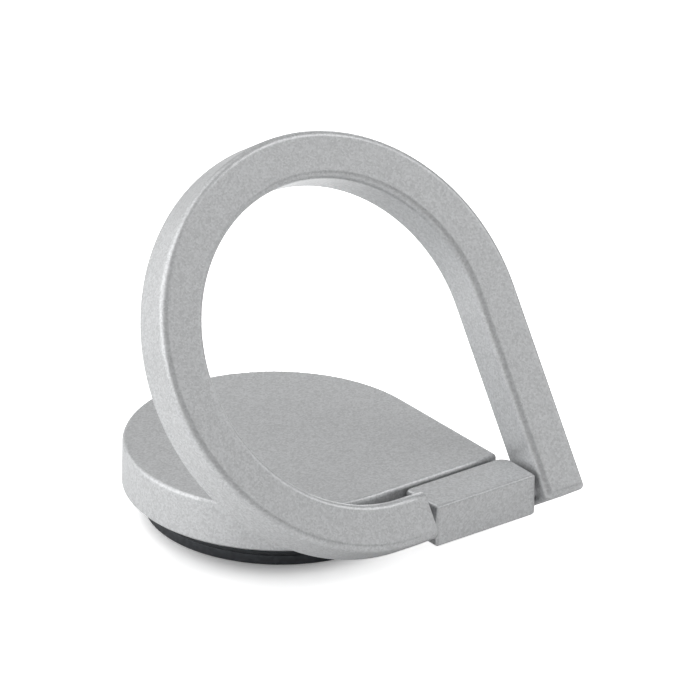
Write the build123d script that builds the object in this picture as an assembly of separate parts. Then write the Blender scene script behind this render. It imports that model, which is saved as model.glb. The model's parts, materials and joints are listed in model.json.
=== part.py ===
from build123d import *
import os
from math import hypot

# Teardrop phone grip, in millimetres. The origin is on the underside of the adhesive pad, below
# the centre that the round parts of the plate and of the folded ring share. +Z is up, the hinge
# line runs along X at the -Y side, and the pointed corners of plate and ring lie at +X -Y.

# Finger ring
RING_OUTER_R = 20.0
RING_BAND = 4.55
RING_THICK = 4.4
RING_EDGE_R = 0.7
RING_BACK_CHAMFER = 0.4
RING_CORNER_R = 0.45
ARM_CHAMFER = 0.12
RING_ANGLE = 56.2

# Hinge
HINGE_INSET = 1.6
HINGE_DROP = 0.1
BLOCK_LENGTH = 11.75
BLOCK_INSET = 0.3
BLOCK_TOP_STEP = 0.2
BLOCK_BOTTOM_STEP = 0.15
BLOCK_CHAMFER = 0.25
BLOCK_HEEL_R = 1.3
GROOVE_WIDTH = 0.3
GROOVE_DEPTH = 1.2
NECK_INSET = 0.8
NECK_ROOT = 1.0
FREE_ARM_GAP = 0.7
TIP_ARM_GAP = 0.35
SWING_GAP = 0.42
PIN_D = 2.0
PIN_BITE = 5.0
PIN_SINK = 0.15
PIN_END_GAP = 0.3
PIN_CHAMFER = 0.2
PIN_CLEARANCE = 0.05

# Base plate
PLATE_THICK = 4.55
PLATE_EDGE_R = 0.4
PLATE_BACK_CHAMFER = 0.3
PLATE_TIP_R = 0.5

# Swivel and adhesive pad
PAD_THICK = 1.0
PAD_SETBACK = 0.1
DISC_THICK = 1.2
DISC_SETBACK = 2.0
DISC_CHAMFER = 0.2
SWIVEL_GAP = 0.15
AXIAL_PLAY = 0.05
RIVET_SHANK_D = 3.0
RIVET_HEAD_D = 7.0
RIVET_HEAD_THICK = 0.5
RIVET_DEPTH = 2.2
RIVET_CLEARANCE = 0.05
WASHER_D = 8.0
WASHER_THICK = 0.5
WASHER_CLEARANCE = 0.1

# Levels, from the pad's underside up
DISC_TOP = PAD_THICK + DISC_THICK
PLATE_BOTTOM = DISC_TOP + SWIVEL_GAP
PLATE_TOP = PLATE_BOTTOM + PLATE_THICK
BLOCK_BOTTOM = PLATE_BOTTOM + BLOCK_BOTTOM_STEP
BLOCK_TOP = PLATE_TOP - BLOCK_TOP_STEP
HEAD_BOTTOM = PAD_THICK + AXIAL_PLAY
HEAD_TOP = HEAD_BOTTOM + RIVET_HEAD_THICK
WASHER_BOTTOM = DISC_TOP + AXIAL_PLAY
WASHER_TOP = WASHER_BOTTOM + WASHER_THICK

# The hinge line runs inside the band, just below its middle, with the folded ring flush with the plate
RING_INNER_R = RING_OUTER_R - RING_BAND
HINGE_Y = -(RING_OUTER_R - HINGE_INSET)
HINGE_Z = PLATE_TOP - RING_THICK / 2 - HINGE_DROP

# The broken edge at the back of the band swings past the plate's straight side with the swing gap to spare
SWEEP_ACROSS = RING_BAND - HINGE_INSET
SWEEP_DOWN = RING_THICK / 2 - HINGE_DROP
SWEEP_LOW = hypot(SWEEP_ACROSS - RING_BACK_CHAMFER, SWEEP_DOWN)
SWEEP_HIGH = hypot(SWEEP_ACROSS, SWEEP_DOWN - RING_BACK_CHAMFER)
SWEEP_R = max(SWEEP_LOW, SWEEP_HIGH)
PLATE_R = -HINGE_Y - SWEEP_R - SWING_GAP
DISC_R = PLATE_R - DISC_SETBACK

# The block fills the opening in the band, between the two arms of the ring
BLOCK_RIGHT = RING_INNER_R - TIP_ARM_GAP
BLOCK_LEFT = BLOCK_RIGHT - BLOCK_LENGTH
BLOCK_FRONT = -(RING_OUTER_R - BLOCK_INSET)
BLOCK_BACK = -(PLATE_R + GROOVE_WIDTH)
ARM_END = BLOCK_LEFT - FREE_ARM_GAP
PIN_HOLE_END = ARM_END - PIN_BITE

# Length by which a cutting tool passes the face that it opens, and the slack in picking corners
PASS = 1.0
NEAR = 0.01


def rectangle(low, high):
    """Flat rectangle between two opposite corners."""
    width = high[0] - low[0]
    depth = high[1] - low[1]
    return Pos(low[0] + width / 2, low[1] + depth / 2) * Rectangle(width, depth)


def upright(radius, bottom, top):
    """Cylinder on the swivel axis between two levels."""
    return Pos(0, 0, bottom) * extrude(Circle(radius), top - bottom)


def along_hinge(radius, left, right):
    """Cylinder on the hinge line between two places along X."""
    rod = extrude(Plane.YZ * Circle(radius), right - left)
    return Pos(left, HINGE_Y, HINGE_Z) * rod


def teardrop(radius):
    """Circle drawn out to one square corner towards +X -Y."""
    return Circle(radius) + rectangle((0, -radius), (radius, 0))


def soft_prism(outline, bottom, top, edge_radius, back_chamfer):
    """Upright prism on a flat outline, its upper edges rounded and its lower ones broken."""
    prism = Pos(0, 0, bottom) * extrude(outline, top - bottom)
    prism = fillet(prism.edges().group_by(Axis.Z)[-1], edge_radius)
    return chamfer(prism.edges().group_by(Axis.Z)[0], back_chamfer)


def folded_ring():
    """Teardrop band with rounded edges, its free arm cut off square beside the hinge block."""
    opening = rectangle((ARM_END + PASS, -RING_OUTER_R - PASS), (RING_INNER_R, 0))
    band = teardrop(RING_OUTER_R) - (teardrop(RING_INNER_R) + opening)
    corners = band.vertices().filter_by(lambda v: v.X > ARM_END and v.Y < -RING_OUTER_R + NEAR)
    outline = fillet(corners, RING_CORNER_R)
    ring = soft_prism(outline, PLATE_TOP - RING_THICK, PLATE_TOP, RING_EDGE_R, RING_BACK_CHAMFER)
    excess = rectangle((ARM_END, -RING_OUTER_R - PASS), (ARM_END + 2 * PASS, -RING_INNER_R + PASS))
    ring -= Pos(0, 0, PLATE_TOP - RING_THICK) * extrude(excess, RING_THICK)
    ring = chamfer(ring.edges().filter_by_position(Axis.X, ARM_END - NEAR, ARM_END + NEAR), ARM_CHAMFER)
    return ring - along_hinge(PIN_D / 2, PIN_HOLE_END, RING_OUTER_R + PASS)


def finger_ring():
    """The ring, swung up about the hinge line to the angle at which it rests."""
    swing = Pos(0, HINGE_Y, HINGE_Z) * Rot(RING_ANGLE, 0, 0) * Pos(0, -HINGE_Y, -HINGE_Z)
    return swing * folded_ring()


def hinge_pin():
    """Pin pressed into both arms from the ring's straight side, turning in the block between them."""
    pin = along_hinge(PIN_D / 2, PIN_HOLE_END + PIN_END_GAP, RING_OUTER_R - PIN_SINK)
    return chamfer(pin.edges().filter_by(GeomType.CIRCLE), PIN_CHAMFER)


def hinge_block():
    """Block on the hinge line, with a rounder heel where it passes the plate's tip."""
    outline = rectangle((BLOCK_LEFT, BLOCK_FRONT), (BLOCK_RIGHT, BLOCK_BACK))
    heel = outline.vertices().sort_by(Axis.Y)[2:].sort_by(Axis.X)[-1]
    outline = fillet(heel, BLOCK_HEEL_R)
    corners = outline.vertices().filter_by(lambda v: v.X < BLOCK_LEFT + NEAR or v.Y < BLOCK_FRONT + NEAR)
    outline = chamfer(corners, BLOCK_CHAMFER)
    block = Pos(0, 0, BLOCK_BOTTOM) * extrude(outline, BLOCK_TOP - BLOCK_BOTTOM)
    levels = block.edges().group_by(Axis.Z)
    return chamfer(levels[0] + levels[-1], BLOCK_CHAMFER)


def hinge_neck():
    """Web that joins the block to the plate below the groove between them."""
    left = BLOCK_LEFT + NECK_INSET
    right = PLATE_R - NECK_INSET
    outline = rectangle((left, BLOCK_BACK - NECK_ROOT), (right, -PLATE_R + NECK_ROOT))
    bottom = BLOCK_BOTTOM + BLOCK_CHAMFER
    return Pos(0, 0, bottom) * extrude(outline, BLOCK_TOP - GROOVE_DEPTH - bottom)


def base_plate():
    """Teardrop plate cast in one with its hinge block, seated below for the swivel."""
    outline = teardrop(PLATE_R)
    outline = fillet(outline.vertices().sort_by_distance((0, 0, 0))[-1], PLATE_TIP_R)
    casting = soft_prism(outline, PLATE_BOTTOM, PLATE_TOP, PLATE_EDGE_R, PLATE_BACK_CHAMFER)
    casting += hinge_block() + hinge_neck()
    casting -= along_hinge(PIN_D / 2 + PIN_CLEARANCE, BLOCK_LEFT - PASS, BLOCK_RIGHT + PASS)
    casting -= upright(WASHER_D / 2 + WASHER_CLEARANCE, PLATE_BOTTOM - PASS, WASHER_TOP)
    return casting - upright(RIVET_SHANK_D / 2, PLATE_BOTTOM, PLATE_BOTTOM + RIVET_DEPTH)


def swivel_disc():
    """Disc that the plate turns on, recessed below for the rivet's head."""
    disc = upright(DISC_R, PAD_THICK, DISC_TOP)
    disc = chamfer(disc.edges().group_by(Axis.Z)[-1], DISC_CHAMFER)
    disc -= upright(RIVET_SHANK_D / 2 + RIVET_CLEARANCE, PAD_THICK - PASS, DISC_TOP + PASS)
    return disc - upright(RIVET_HEAD_D / 2 + RIVET_CLEARANCE, PAD_THICK - PASS, HEAD_TOP + AXIAL_PLAY)


def swivel_rivet():
    """Flat-headed rivet, with its head in the disc and its shank pressed into the plate."""
    head = upright(RIVET_HEAD_D / 2, HEAD_BOTTOM, HEAD_TOP)
    return head + upright(RIVET_SHANK_D / 2, HEAD_TOP, PLATE_BOTTOM + RIVET_DEPTH)


def friction_washer():
    """Flat washer in the plate's seat, which drags on the disc and holds the plate's heading."""
    washer = upright(WASHER_D / 2, WASHER_BOTTOM, WASHER_TOP)
    return washer - upright(RIVET_SHANK_D / 2 + WASHER_CLEARANCE, WASHER_BOTTOM - PASS, WASHER_TOP + PASS)


def adhesive_pad():
    """Round adhesive pad below the disc."""
    return upright(DISC_R - PAD_SETBACK, 0, PAD_THICK)


PIECES = {
    "adhesive_pad": adhesive_pad,
    "swivel_disc": swivel_disc,
    "swivel_rivet": swivel_rivet,
    "friction_washer": friction_washer,
    "base_plate": base_plate,
    "hinge_pin": hinge_pin,
    "finger_ring": finger_ring,
}

os.makedirs("parts", exist_ok=True)
for node, make in PIECES.items():
    export_step(make(), f"parts/{node}.step")
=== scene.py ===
"""Teardrop phone grip: the looks of its solids, its soft pad and a small white studio round it.

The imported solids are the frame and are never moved. The metal castings keep their solids and get
smooth shading and a satin finish. The pad, the disc and the hinge pin are surfaces of their own,
each a profile turned about an axis.
"""

import json
import math

import bpy
import numpy as np
from bpy.props import FloatProperty, FloatVectorProperty, PointerProperty
from mathutils import Matrix, Vector


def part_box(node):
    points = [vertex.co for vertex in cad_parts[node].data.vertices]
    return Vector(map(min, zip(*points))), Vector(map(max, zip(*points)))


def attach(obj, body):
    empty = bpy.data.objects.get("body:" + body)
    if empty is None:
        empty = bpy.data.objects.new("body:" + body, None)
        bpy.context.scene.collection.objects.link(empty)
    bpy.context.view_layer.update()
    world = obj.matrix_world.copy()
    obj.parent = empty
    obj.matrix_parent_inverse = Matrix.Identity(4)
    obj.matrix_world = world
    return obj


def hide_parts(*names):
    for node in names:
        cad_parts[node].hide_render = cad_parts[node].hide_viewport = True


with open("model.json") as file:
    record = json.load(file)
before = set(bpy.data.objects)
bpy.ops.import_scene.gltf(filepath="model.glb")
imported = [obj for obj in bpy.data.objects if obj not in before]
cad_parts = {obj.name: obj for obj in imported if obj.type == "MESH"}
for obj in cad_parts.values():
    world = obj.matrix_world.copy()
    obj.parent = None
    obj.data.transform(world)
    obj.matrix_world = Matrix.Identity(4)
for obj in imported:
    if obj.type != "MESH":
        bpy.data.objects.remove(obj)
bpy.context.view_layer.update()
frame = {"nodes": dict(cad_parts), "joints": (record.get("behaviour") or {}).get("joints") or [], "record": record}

bl_info = {
    "name": "Teardrop Phone Grip",
    "version": (1, 0, 0),
    "blender": (4, 5, 0),
    "location": "View3D > Sidebar > Phone Grip",
    "description": "Dresses a phone grip with a folding finger ring and sets up a white studio",
    "category": "Object",
}

MM = 0.001

# Steps round a turned piece and round its corners, and rings on its end faces
TURN_STEPS = 192
CORNER_STEPS = 8
FACE_RINGS = 6
PIN_RINGS = 4

# Shading of the solids: seams closer than the first are joined, edges sharper than the second stay sharp
WELD_GAP = 0.0005 * MM
SHARP_EDGE = math.radians(51)

# Part of the patch noise that spans the whole range of gloss, and the tint of what black pieces reflect
PATCH_RANGE = (0.3, 0.7)
BLACK_SHEEN = (0.86, 0.96, 1.0)

# Camera
LENS = 1440.0
SENSOR = 36.0
CLIP_RANGE = (0.1, 10.0)

# Floor, and the glow that makes it white
FLOOR_HALF = 1.5
FLOOR_CELLS = 8
FLOOR_DROP = 0.01 * MM
FLOOR_GLOW = 0.846

# Painted shadow on the floor: the glow fades out about the foot's near side, and about the pad by a
# share: centres, and radii from no glow to all of it
FOOT_SHADOW_CENTRE = (-0.0077, -0.0055, 0.0)
FOOT_SHADOW_FADE = (0.0, 0.017)
PAD_SHADOW_CENTRE = (0.0, 0.0, 0.0)
PAD_SHADOW_FADE = (0.0115, 0.0145)
PAD_SHADOW_SHARE = 0.67

# Painted pools of light, glow that only mirrors and glass show: centre, radius where it starts, radius
# where it is full, strength
PAINTED_POOLS = (
    ((0.033, 0.044, 0.0), 0.046, 0.012, 1.2),
    ((-0.046, 0.012, 0.0), 0.055, 0.015, 0.29),
)

# Soft boxes: name, heading and height in degrees, side in metres, power in watts
BOX_DISTANCE = 0.7
SOFT_BOXES = (
    ("key_box", -122, 56, 0.48, 1.3),
    ("low_left_box", -132, 19, 0.42, 1.0),
    ("low_near_box", -96, 19, 0.42, 1.0),
    ("low_far_box", -168, 19, 0.42, 0.45),
    ("high_box", 60, 52, 0.3, 0.68),
    ("front_box", 60, 25, 0.4, 0.47),
    ("back_box", 135, 25, 0.4, 0.09),
    ("rear_box", 180, 60, 0.4, 0.42),
    ("right_box", 130, 8, 0.18, 0.3),
)

PAD_LOW, PAD_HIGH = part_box("adhesive_pad")
DISC_LOW, DISC_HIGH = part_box("swivel_disc")
PIN_LOW, PIN_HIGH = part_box("hinge_pin")
HINGE = next(joint for joint in frame["joints"] if joint["name"] == "ring_hinge")
SWIVEL = next(joint for joint in frame["joints"] if joint["name"] == "base_swivel")


def slot_colour(slot):
    """Base colour that the record gives a material slot."""
    return next(m["base_color"] for m in frame["record"]["materials"] if m["slot"] == slot)


def length(name, description, default):
    """Length in metres that a user may set."""
    return FloatProperty(name=name, description=description, default=default, min=0.0, unit="LENGTH")


def colour(name, description, default):
    """Colour that a user may set."""
    return FloatVectorProperty(
        name=name, description=description, default=default, size=3, subtype="COLOR", min=0.0, max=1.0
    )


def angle(name, description, degrees):
    """Angle that a user may set, given here in degrees."""
    return FloatProperty(
        name=name, description=description, default=math.radians(degrees), subtype="ANGLE"
    )


class GripSizes(bpy.types.PropertyGroup):
    """Sizes of the pieces that are made here."""

    pad_radius: length("Pad radius", "Radius of the adhesive pad", PAD_HIGH.x)
    pad_thickness: length("Pad thickness", "Height of the adhesive pad", PAD_HIGH.z)
    pad_edge: length("Pad edge", "Rounding of the pad's cut edge", 0.12 * MM)
    disc_radius: length("Disc radius", "Radius of the swivel disc", DISC_HIGH.x)
    disc_edge: length("Disc edge", "Rounding of the disc's rim", 0.2 * MM)
    pin_radius: length("Pin radius", "Radius of the hinge pin", (PIN_HIGH.z - PIN_LOW.z) / 2)
    pin_edge: length("Pin edge", "Rounding at the pin's ends", 0.2 * MM)
    grain: length("Metal grain", "Size of the grain in the satin finish", 0.17 * MM)


class GripColours(bpy.types.PropertyGroup):
    """Colours of the finishes."""

    silver: colour("Silver", "Satin finish of ring and plate", slot_colour("silver_metal"))
    steel: colour("Steel", "Hinge pin and swivel rivet", slot_colour("pin_steel"))
    plastic: colour("Plastic", "Swivel disc", slot_colour("disc_plastic"))
    foam: colour("Foam", "Adhesive pad", slot_colour("pad_foam"))
    nylon: colour("Nylon", "Friction washer", slot_colour("washer_nylon"))


class GripStudio(bpy.types.PropertyGroup):
    """Camera and light of the white studio."""

    azimuth: angle("Azimuth", "Heading of the camera round the grip", -38.3937)
    elevation: angle("Elevation", "Height of the camera above the horizon", 26.1974)
    roll: angle("Roll", "Turn of the camera about its own view", 0.9985)
    distance: length("Distance", "From the camera to the point that it looks at", 2.608321)
    target: FloatVectorProperty(
        name="Target",
        description="Point that the camera looks at",
        default=(0.0068777, -0.0018104, 0.0148558),
        size=3,
        subtype="TRANSLATION",
        unit="LENGTH",
    )
    floor: colour("Floor", "Colour of the floor", (0.95, 0.95, 0.95))
    fill: FloatProperty(name="Fill", description="Light from all round", default=0.395, min=0.0)


def turned(profile, centre, axis):
    """Surface of revolution: each profile point (radius, height) is carried once round the axis.

    A grid of profile steps by turn steps: the point at height h and angle a lies at
    centre + h * axis + radius * (cos a * side + sin a * cross), with side, cross and axis at right
    angles to each other. The first and last profile points lie on the axis and close the ends.
    """
    profile = np.asarray(profile, float)
    axis = np.asarray(axis, float)
    side = np.roll(axis, 1)
    cross = np.cross(axis, side)
    turn = np.arange(TURN_STEPS) * (2 * math.pi / TURN_STEPS)
    around = np.cos(turn)[:, None] * side + np.sin(turn)[:, None] * cross
    along = np.asarray(centre, float) + profile[:, 1, None] * axis
    rows = along[1:-1, None, :] + profile[1:-1, 0, None, None] * around
    return np.concatenate([along[:1], rows.reshape(-1, 3), along[-1:]])


def turned_faces(profile):
    """Faces of a turned surface: a ring for each profile point but the first and the last."""
    rings = len(profile) - 2
    step = np.arange(TURN_STEPS)
    after = (step + 1) % TURN_STEPS
    base = 1 + TURN_STEPS * np.arange(rings - 1)[:, None]
    above = base + TURN_STEPS
    quads = np.stack([base + step, base + after, above + after, above + step], axis=-1)
    last = 1 + TURN_STEPS * (rings - 1)
    first_fan = np.stack([np.zeros_like(step), 1 + after, 1 + step], axis=-1)
    last_fan = np.stack([np.full_like(step, last + TURN_STEPS), last + step, last + after], axis=-1)
    return quads.reshape(-1, 4).tolist() + first_fan.tolist() + last_fan.tolist()


def round_corner(radius, height, size, start):
    """Quarter circle in a profile, about (radius, height), from the start angle in degrees on."""
    bend = np.radians(start + np.linspace(0, 90, CORNER_STEPS + 1))
    return np.stack([radius + size * np.cos(bend), height + size * np.sin(bend)], axis=-1)


def rim_profile(radius, low, high, edge, rings):
    """Half section of a flat round piece, with rounded edges and spread rings on both faces."""
    flat = np.linspace(0, radius - edge, rings, endpoint=False)
    under = np.stack([flat, np.full(rings, low)], axis=-1)
    over = np.stack([flat[::-1], np.full(rings, high)], axis=-1)
    lower = round_corner(radius - edge, low + edge, edge, -90)
    upper = round_corner(radius - edge, high - edge, edge, 0)
    return np.concatenate([under, lower, upper, over])


def add_piece(name, points, faces, material, body, node):
    """Smooth mesh at the origin that rides on a body and stands for one solid."""
    mesh = bpy.data.meshes.new(name)
    mesh.from_pydata(points.tolist(), [], faces)
    mesh.shade_smooth()
    piece = bpy.data.objects.new(name, mesh)
    bpy.context.scene.collection.objects.link(piece)
    mesh.materials.append(material)
    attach(piece, body)
    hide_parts(node)
    return piece


def finish_node(node, material):
    """The solid stays as it is: its seams are welded, its shading made smooth and its material set.

    The shading breaks at edges sharper than a chamfer's. Elsewhere each corner takes the normal of
    its largest face, so that flat faces stay flat and only the rounded edges bend.
    """
    piece = frame["nodes"][node]
    piece.material_slots[0].material = material
    weld = piece.modifiers.new("weld", "WELD")
    weld.merge_threshold = WELD_GAP
    split = piece.modifiers.new("split", "EDGE_SPLIT")
    split.split_angle = SHARP_EDGE
    split.use_edge_sharp = False
    smooth = piece.modifiers.new("smooth", "WEIGHTED_NORMAL")
    smooth.weight = 100
    smooth.thresh = 0.0


def shader_group(name, inputs, outputs):
    """Empty shader node group with named float or vector inputs and outputs."""
    group = bpy.data.node_groups.new(name, "ShaderNodeTree")
    for label, kind, value in inputs:
        socket = group.interface.new_socket(label, in_out="INPUT", socket_type=kind)
        if value is not None:
            socket.default_value = value
    for label, kind in outputs:
        group.interface.new_socket(label, in_out="OUTPUT", socket_type=kind)
    return group, group.nodes.new("NodeGroupInput"), group.nodes.new("NodeGroupOutput")


def math_node(tree, operation, first, second):
    """Math node on two sockets or numbers."""
    node = tree.nodes.new("ShaderNodeMath")
    node.operation = operation
    for socket, value in zip(node.inputs, (first, second)):
        if isinstance(value, (int, float)):
            socket.default_value = value
        else:
            tree.links.new(value, socket)
    return node.outputs[0]


def grain_group():
    """Fine grain: soft noise and small facets of one size, as a tone from 0 to 1 and as a height."""
    group, given, put = shader_group(
        "fine_grain",
        [
            ("Vector", "NodeSocketVector", None),
            ("Scale", "NodeSocketFloat", 6000.0),
            ("Facets", "NodeSocketFloat", 0.5),
        ],
        [("Tone", "NodeSocketFloat"), ("Height", "NodeSocketFloat")],
    )
    noise = group.nodes.new("ShaderNodeTexNoise")
    noise.inputs["Detail"].default_value = 2.0
    noise.inputs["Roughness"].default_value = 0.6
    facets = group.nodes.new("ShaderNodeTexVoronoi")
    for texture in (noise, facets):
        group.links.new(given.outputs["Vector"], texture.inputs["Vector"])
        group.links.new(given.outputs["Scale"], texture.inputs["Scale"])
    grey = group.nodes.new("ShaderNodeSeparateColor")
    group.links.new(facets.outputs["Color"], grey.inputs["Color"])
    tone = group.nodes.new("ShaderNodeMix")
    group.links.new(given.outputs["Facets"], tone.inputs["Factor"])
    group.links.new(noise.outputs["Fac"], tone.inputs["A"])
    group.links.new(grey.outputs["Red"], tone.inputs["B"])
    group.links.new(tone.outputs["Result"], put.inputs["Tone"])
    group.links.new(noise.outputs["Fac"], put.inputs["Height"])
    return group


def handling_group():
    """Broad soft patches, where hands and wear have changed the gloss a little."""
    group, given, put = shader_group(
        "handling",
        [("Vector", "NodeSocketVector", None), ("Scale", "NodeSocketFloat", 120.0)],
        [("Patch", "NodeSocketFloat")],
    )
    noise = group.nodes.new("ShaderNodeTexNoise")
    noise.inputs["Detail"].default_value = 3.0
    group.links.new(given.outputs["Vector"], noise.inputs["Vector"])
    group.links.new(given.outputs["Scale"], noise.inputs["Scale"])
    group.links.new(noise.outputs["Fac"], put.inputs["Patch"])
    return group


def shared_group(name, make):
    """The node group of that name, made the first time it is asked for."""
    return bpy.data.node_groups.get(name) or make()


def finish(
    name,
    tone,
    *,
    grain_size,
    facets,
    contrast,
    roughness,
    gloss_range,
    bump,
    metallic=0.0,
    sheen=(1, 1, 1),
):
    """Procedural finish: grain varies the colour and gives the bump, and patches vary the gloss.

    Colour runs from tone * (1 - contrast) to tone * (1 + contrast) with the grain's tone, and
    roughness from roughness - gloss_range to roughness + gloss_range with the patches. The sheen
    tints what a finish that isn't metal reflects.
    """
    material = bpy.data.materials.new(name)
    material.use_nodes = True
    tree = material.node_tree
    shader = tree.nodes["Principled BSDF"]
    place = tree.nodes.new("ShaderNodeTexCoord")
    grain = tree.nodes.new("ShaderNodeGroup")
    grain.node_tree = shared_group("fine_grain", grain_group)
    grain.inputs["Scale"].default_value = 1 / grain_size
    grain.inputs["Facets"].default_value = facets
    patch = tree.nodes.new("ShaderNodeGroup")
    patch.node_tree = shared_group("handling", handling_group)
    for group in (grain, patch):
        tree.links.new(place.outputs["Object"], group.inputs["Vector"])
    ramp = tree.nodes.new("ShaderNodeMix")
    ramp.data_type = "RGBA"
    socket = {s.identifier: s for s in ramp.inputs}
    socket["A_Color"].default_value = [c * (1 - contrast) for c in tone] + [1]
    socket["B_Color"].default_value = [min(1, c * (1 + contrast)) for c in tone] + [1]
    tree.links.new(grain.outputs["Tone"], socket["Factor_Float"])
    result = {s.identifier: s for s in ramp.outputs}["Result_Color"]
    tree.links.new(result, shader.inputs["Base Color"])
    span = tree.nodes.new("ShaderNodeMapRange")
    span.inputs["From Min"].default_value = PATCH_RANGE[0]
    span.inputs["From Max"].default_value = PATCH_RANGE[1]
    span.inputs["To Min"].default_value = roughness - gloss_range
    span.inputs["To Max"].default_value = roughness + gloss_range
    tree.links.new(patch.outputs["Patch"], span.inputs["Value"])
    tree.links.new(span.outputs["Result"], shader.inputs["Roughness"])
    relief = tree.nodes.new("ShaderNodeBump")
    relief.inputs["Distance"].default_value = bump
    tree.links.new(grain.outputs["Height"], relief.inputs["Height"])
    tree.links.new(relief.outputs["Normal"], shader.inputs["Normal"])
    shader.inputs["Metallic"].default_value = metallic
    shader.inputs["Specular Tint"].default_value = (*sheen, 1)
    return material


def silver_finish():
    """Satin silver with a fine metallic grain, shared by ring and plate."""
    made = bpy.data.materials.get("satin_silver")
    grip = bpy.context.scene
    return made or finish(
        "satin_silver",
        grip.grip_colours.silver,
        grain_size=grip.grip_sizes.grain,
        facets=0.5,
        contrast=0.24,
        roughness=0.41,
        gloss_range=0.03,
        bump=0.004 * MM,
        metallic=0.6,
    )


def steel_finish():
    """Ground steel of pin and rivet."""
    made = bpy.data.materials.get("ground_steel")
    tone = bpy.context.scene.grip_colours.steel
    return made or finish(
        "ground_steel",
        tone,
        grain_size=0.1 * MM,
        facets=0.3,
        contrast=0.08,
        roughness=0.28,
        gloss_range=0.05,
        bump=0.002 * MM,
        metallic=1.0,
    )


class GRIP_OT_finger_ring(bpy.types.Operator):
    """Finish the finger ring in satin silver"""

    bl_idname = "grip.finger_ring"
    bl_label = "Finger Ring"

    def execute(self, context):
        finish_node("finger_ring", silver_finish())
        return {"FINISHED"}


class GRIP_OT_base_plate(bpy.types.Operator):
    """Finish the teardrop plate and its hinge block in satin silver"""

    bl_idname = "grip.base_plate"
    bl_label = "Base Plate"

    def execute(self, context):
        finish_node("base_plate", silver_finish())
        return {"FINISHED"}


class GRIP_OT_hinge_pin(bpy.types.Operator):
    """Turn the hinge pin with rounded ends"""

    bl_idname = "grip.hinge_pin"
    bl_label = "Hinge Pin"

    def execute(self, context):
        size = context.scene.grip_sizes
        profile = rim_profile(size.pin_radius, PIN_LOW.x, PIN_HIGH.x, size.pin_edge, PIN_RINGS)
        centre = (0, HINGE["pos_m"][1], HINGE["pos_m"][2])
        points = turned(profile, centre, HINGE["axis"])
        faces = turned_faces(profile)
        add_piece("turned_pin", points, faces, steel_finish(), "ring", "hinge_pin")
        return {"FINISHED"}


class GRIP_OT_swivel_hardware(bpy.types.Operator):
    """Finish the rivet and the washer of the swivel"""

    bl_idname = "grip.swivel_hardware"
    bl_label = "Swivel Hardware"

    def execute(self, context):
        nylon = finish(
            "natural_nylon",
            context.scene.grip_colours.nylon,
            grain_size=0.3 * MM,
            facets=0.2,
            contrast=0.06,
            roughness=0.5,
            gloss_range=0.05,
            bump=0.003 * MM,
        )
        finish_node("swivel_rivet", steel_finish())
        finish_node("friction_washer", nylon)
        return {"FINISHED"}


class GRIP_OT_swivel_disc(bpy.types.Operator):
    """Turn the black plastic disc that the plate swivels on"""

    bl_idname = "grip.swivel_disc"
    bl_label = "Swivel Disc"

    def execute(self, context):
        size = context.scene.grip_sizes
        black = finish(
            "matt_black_plastic",
            context.scene.grip_colours.plastic,
            grain_size=0.25 * MM,
            facets=0.3,
            contrast=0.3,
            roughness=0.4,
            gloss_range=0.06,
            bump=0.004 * MM,
            sheen=BLACK_SHEEN,
        )
        profile = rim_profile(size.disc_radius, DISC_LOW.z, DISC_HIGH.z, size.disc_edge, FACE_RINGS)
        points = turned(profile, (0, 0, 0), SWIVEL["axis"])
        faces = turned_faces(profile)
        add_piece("moulded_disc", points, faces, black, "mount", "swivel_disc")
        return {"FINISHED"}


class GRIP_OT_adhesive_pad(bpy.types.Operator):
    """Turn the black foam pad that sticks to the phone"""

    bl_idname = "grip.adhesive_pad"
    bl_label = "Adhesive Pad"

    def execute(self, context):
        size = context.scene.grip_sizes
        foam = finish(
            "black_foam",
            context.scene.grip_colours.foam,
            grain_size=0.35 * MM,
            facets=0.6,
            contrast=0.45,
            roughness=0.5,
            gloss_range=0.08,
            bump=0.01 * MM,
            sheen=BLACK_SHEEN,
        )
        profile = rim_profile(size.pad_radius, PAD_LOW.z, size.pad_thickness, size.pad_edge, FACE_RINGS)
        points = turned(profile, (0, 0, 0), SWIVEL["axis"])
        faces = turned_faces(profile)
        pad = add_piece("foam_pad", points, faces, foam, "mount", "adhesive_pad")
        return {"FINISHED"}


def facing(heading, height):
    """Direction at a heading and a height, in radians; heading 0 is towards -Y and pi / 2 towards +X."""
    level = math.cos(height)
    return Vector((math.sin(heading) * level, -math.cos(heading) * level, math.sin(height)))


def add_camera(studio):
    """Camera on the line of view, looking back at the target, then rolled about that line."""
    data = bpy.data.cameras.new("camera")
    data.lens = LENS
    data.sensor_width = SENSOR
    data.clip_start = CLIP_RANGE[0]
    data.clip_end = CLIP_RANGE[1]
    camera = bpy.data.objects.new("camera", data)
    bpy.context.scene.collection.objects.link(camera)
    back = facing(studio.azimuth, studio.elevation)
    right = Vector((math.cos(studio.azimuth), math.sin(studio.azimuth), 0.0))
    up = back.cross(right)
    c, s = math.cos(studio.roll), math.sin(studio.roll)
    axes = Matrix((right * c + up * s, up * c - right * s, back)).transposed()
    place = Vector(studio.target) + back * studio.distance
    camera.matrix_world = Matrix.Translation(place) @ axes.to_4x4()
    bpy.context.scene.camera = camera


def add_soft_box(name, heading, height, side, power):
    """Square soft box that points at the grip and isn't seen by the camera."""
    data = bpy.data.lights.new(name, "AREA")
    data.shape = "SQUARE"
    data.size = side
    data.energy = power
    lamp = bpy.data.objects.new(name, data)
    bpy.context.scene.collection.objects.link(lamp)
    away = facing(math.radians(heading), math.radians(height))
    turn = away.to_track_quat("Z", "Y").to_matrix().to_4x4()
    lamp.matrix_world = Matrix.Translation(away * BOX_DISTANCE) @ turn
    lamp.visible_camera = False


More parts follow.
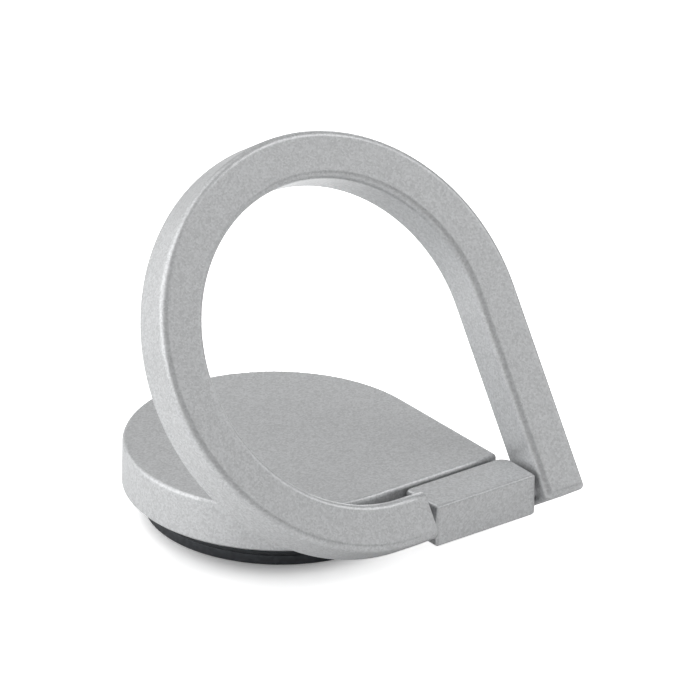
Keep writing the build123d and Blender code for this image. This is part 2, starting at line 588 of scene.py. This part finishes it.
def faded(tree, value, start, end):
    """Smooth step from 0 where the value is at its start to 1 where it is at its end."""
    fade = tree.nodes.new("ShaderNodeMapRange")
    fade.interpolation_type = "SMOOTHSTEP"
    fade.inputs["From Min"].default_value = start
    fade.inputs["From Max"].default_value = end
    tree.links.new(value, fade.inputs["Value"])
    return fade.outputs["Result"]


def reach(tree, place, centre):
    """Distance of a place from a centre."""
    measure = tree.nodes.new("ShaderNodeVectorMath")
    measure.operation = "DISTANCE"
    tree.links.new(place, measure.inputs[0])
    measure.inputs[1].default_value = centre
    return measure.outputs["Value"]


def white_glow(tree):
    """Light that the floor adds to its own, so that it looks white to the camera, mirrors and glass.

    It dies away towards the pad's near side, and in part close round all of it, as a painted shadow
    that keeps the shadow at its foot deep. In mirrors it comes in pools behind and beside the grip:
    painted pools of light that only reflections show.
    """
    ray = tree.nodes.new("ShaderNodeLightPath").outputs
    place = tree.nodes.new("ShaderNodeTexCoord").outputs["Object"]
    mirrored = math_node(tree, "MAXIMUM", ray["Is Glossy Ray"], ray["Is Transmission Ray"])
    glow = math_node(tree, "MULTIPLY", ray["Is Camera Ray"], FLOOR_GLOW)
    # Painted pools of light, seen only in reflections
    for centre, start, full, strength in PAINTED_POOLS:
        painted_pool = faded(tree, reach(tree, place, centre), start, full)
        painted_pool = math_node(tree, "MULTIPLY", painted_pool, strength)
        glow = math_node(tree, "ADD", glow, math_node(tree, "MULTIPLY", mirrored, painted_pool))
    # Painted shadow: the glow dies away towards the pad's near side and round the pad
    foot = faded(tree, reach(tree, place, FOOT_SHADOW_CENTRE), *FOOT_SHADOW_FADE)
    glow = math_node(tree, "MULTIPLY", glow, foot)
    pad = faded(tree, reach(tree, place, PAD_SHADOW_CENTRE), *PAD_SHADOW_FADE)
    pad = math_node(tree, "MULTIPLY", pad, PAD_SHADOW_SHARE)
    pad = math_node(tree, "ADD", pad, 1 - PAD_SHADOW_SHARE)
    return math_node(tree, "MULTIPLY", glow, pad)


def floor_material(tone):
    """Pale floor that takes the shadow, glows to white where it is seen, and is clear from below."""
    material = bpy.data.materials.new("white_floor")
    material.use_nodes = True
    tree = material.node_tree
    tree.nodes.remove(tree.nodes["Principled BSDF"])
    matt = tree.nodes.new("ShaderNodeBsdfDiffuse")
    matt.inputs["Color"].default_value = (*tone, 1)
    glow = tree.nodes.new("ShaderNodeEmission")
    both = tree.nodes.new("ShaderNodeAddShader")
    clear = tree.nodes.new("ShaderNodeBsdfTransparent")
    side = tree.nodes.new("ShaderNodeNewGeometry")
    mix = tree.nodes.new("ShaderNodeMixShader")
    tree.links.new(white_glow(tree), glow.inputs["Strength"])
    tree.links.new(matt.outputs["BSDF"], both.inputs[0])
    tree.links.new(glow.outputs["Emission"], both.inputs[1])
    tree.links.new(side.outputs["Backfacing"], mix.inputs["Fac"])
    tree.links.new(both.outputs["Shader"], mix.inputs[1])
    tree.links.new(clear.outputs["BSDF"], mix.inputs[2])
    tree.links.new(mix.outputs["Shader"], tree.nodes["Material Output"].inputs["Surface"])
    return material


def add_floor(tone):
    """Flat square floor just under the pad."""
    row = FLOOR_CELLS + 1
    lines = np.linspace(-FLOOR_HALF, FLOOR_HALF, row)
    across, along = np.meshgrid(lines, lines)
    points = np.stack([across.ravel(), along.ravel(), np.full(across.size, -FLOOR_DROP)], axis=-1)
    cell = np.arange(FLOOR_CELLS)
    corner = (cell[:, None] * row + cell).ravel()
    faces = np.stack([corner, corner + 1, corner + row + 1, corner + row], axis=-1)
    mesh = bpy.data.meshes.new("floor")
    mesh.from_pydata(points.tolist(), [], faces.tolist())
    floor = bpy.data.objects.new("floor", mesh)
    bpy.context.scene.collection.objects.link(floor)
    mesh.materials.append(floor_material(tone))


def add_world(fill):
    """Even soft light from all round."""
    world = bpy.data.worlds.new("studio")
    bpy.context.scene.world = world
    world.use_nodes = True
    back = world.node_tree.nodes["Background"]
    back.inputs["Color"].default_value = (1, 1, 1, 1)
    back.inputs["Strength"].default_value = fill


class GRIP_OT_studio(bpy.types.Operator):
    """Set up the floor, the light and the camera"""

    bl_idname = "grip.studio"
    bl_label = "Studio"

    def execute(self, context):
        studio = context.scene.grip_studio
        add_floor(studio.floor)
        add_world(studio.fill)
        for box in SOFT_BOXES:
            add_soft_box(*box)
        add_camera(studio)
        context.scene.view_settings.view_transform = "Standard"
        return {"FINISHED"}


OPERATORS = (
    GRIP_OT_finger_ring,
    GRIP_OT_base_plate,
    GRIP_OT_hinge_pin,
    GRIP_OT_swivel_hardware,
    GRIP_OT_swivel_disc,
    GRIP_OT_adhesive_pad,
    GRIP_OT_studio,
)


class GRIP_PT_panel(bpy.types.Panel):
    """Sidebar panel that lists the pieces"""

    bl_idname = "GRIP_PT_panel"
    bl_label = "Phone Grip"
    bl_space_type = "VIEW_3D"
    bl_region_type = "UI"
    bl_category = "Phone Grip"

    def draw(self, context):
        for operator in OPERATORS:
            self.layout.operator(operator.bl_idname)


CLASSES = (GripSizes, GripColours, GripStudio, *OPERATORS, GRIP_PT_panel)
SETTINGS = {"grip_sizes": GripSizes, "grip_colours": GripColours, "grip_studio": GripStudio}


def register():
    for cls in CLASSES:
        bpy.utils.register_class(cls)
    for name, group in SETTINGS.items():
        setattr(bpy.types.Scene, name, PointerProperty(type=group))


def unregister():
    for name in SETTINGS:
        delattr(bpy.types.Scene, name)
    for cls in reversed(CLASSES):
        bpy.utils.unregister_class(cls)


def main():
    register()
    bpy.ops.grip.finger_ring()
    bpy.ops.grip.base_plate()
    bpy.ops.grip.hinge_pin()
    bpy.ops.grip.swivel_hardware()
    bpy.ops.grip.swivel_disc()
    bpy.ops.grip.adhesive_pad()
    bpy.ops.grip.studio()


if __name__ == "__main__":
    main()
